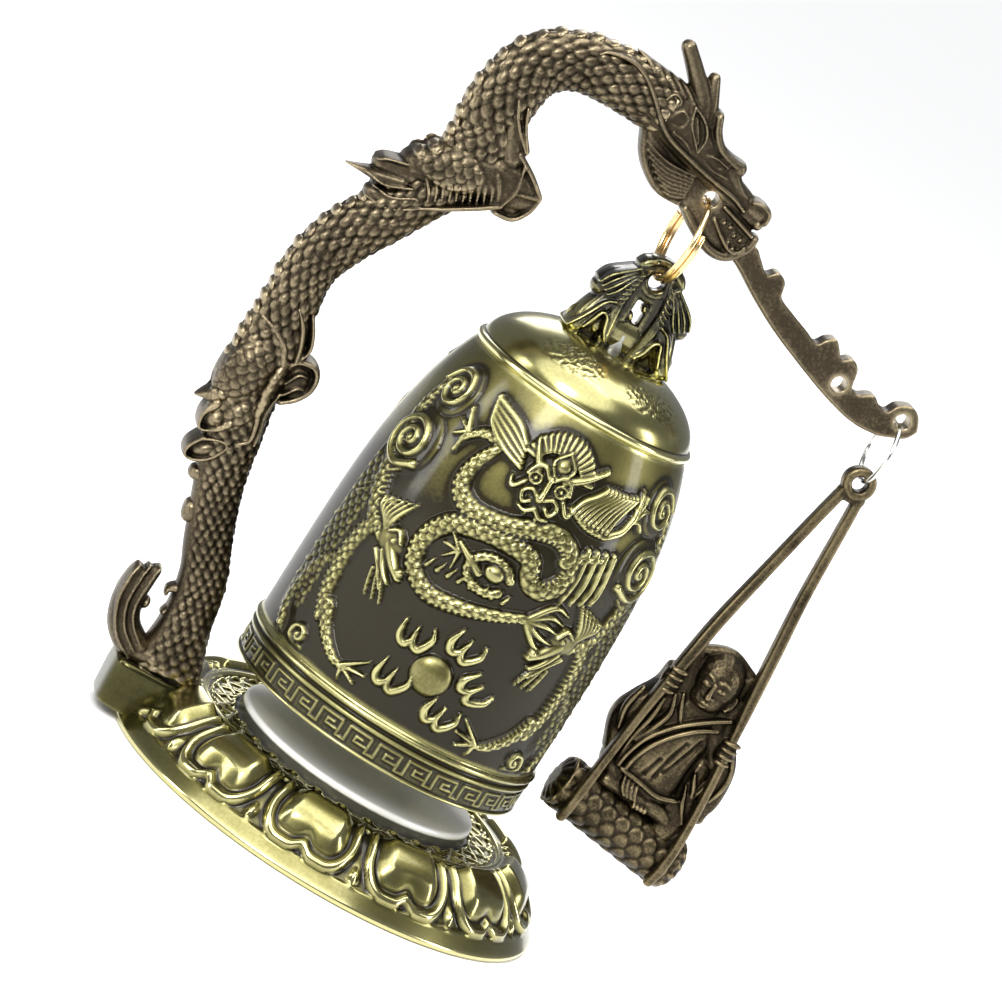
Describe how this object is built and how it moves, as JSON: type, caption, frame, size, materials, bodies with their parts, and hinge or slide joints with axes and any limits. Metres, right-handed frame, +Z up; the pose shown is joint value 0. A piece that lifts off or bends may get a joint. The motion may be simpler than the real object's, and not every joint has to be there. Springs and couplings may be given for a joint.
{
  "type": "temple bell",
  "caption": "Desk temple bell hung by a ring from a dragon-shaped arm on a lotus base, with a seated figure and log as its swinging striker.",
  "frame": {"origin": "centre of the underside of the lotus base", "axes": "+Z up; the arm lies in the XZ plane, with its column at -X and the striker at +X; -Y is the side that is looked at"},
  "size_m": [0.0924, 0.066, 0.117],
  "materials": {
    "antique_brass_base": "polished antique brass, dark in the hollows",
    "antique_brass_bell": "glossy antique brass with dark ground and bright relief",
    "antique_bronze": "antique bronze plating, brown in the hollows and worn on the edges",
    "dark_bronze": "dark antique bronze, worn on the edges",
    "blackened_brass": "nearly black brass with bright edges",
    "gold_wire": "bright gold plated wire",
    "nickel_wire": "bright nickel plated wire",
    "zinc_screw": "zinc plated steel"
  },
  "bodies": {
    "stand": {"base": "antique_brass_base", "dragon_arm": "antique_bronze", "column_screw": "zinc_screw"},
    "bell_ring": {"bell_split_ring": "gold_wire"},
    "bell": {"bell_shell": "antique_brass_bell", "crown_loop": "blackened_brass", "crown_screw": "zinc_screw"},
    "striker_ring": {"striker_jump_ring": "nickel_wire"},
    "striker": {"striker": "dark_bronze"}
  },
  "joints": [
    {"name": "bell_side_swing", "type": "hinge", "parent": "stand", "child": "bell_ring", "pos_m": [-0.0008, 0, 0.10004], "axis": [0, 1, 0], "range_deg": [-0.6, 3.2]},
    {"name": "bell_front_swing", "type": "hinge", "parent": "bell_ring", "child": "bell", "pos_m": [-0.0008, 0, 0.09384], "axis": [1, 0, 0], "range_deg": [-20, 20]},
    {"name": "striker_swing", "type": "hinge", "parent": "stand", "child": "striker_ring", "pos_m": [0.0387, 0, 0.08709], "axis": [0, 1, 0], "range_deg": [-45, 2.2]},
    {"name": "striker_front_swing", "type": "hinge", "parent": "striker_ring", "child": "striker", "pos_m": [0.0387, 0, 0.08249], "axis": [1, 0, 0], "range_deg": [-20, 20]}
  ]
}
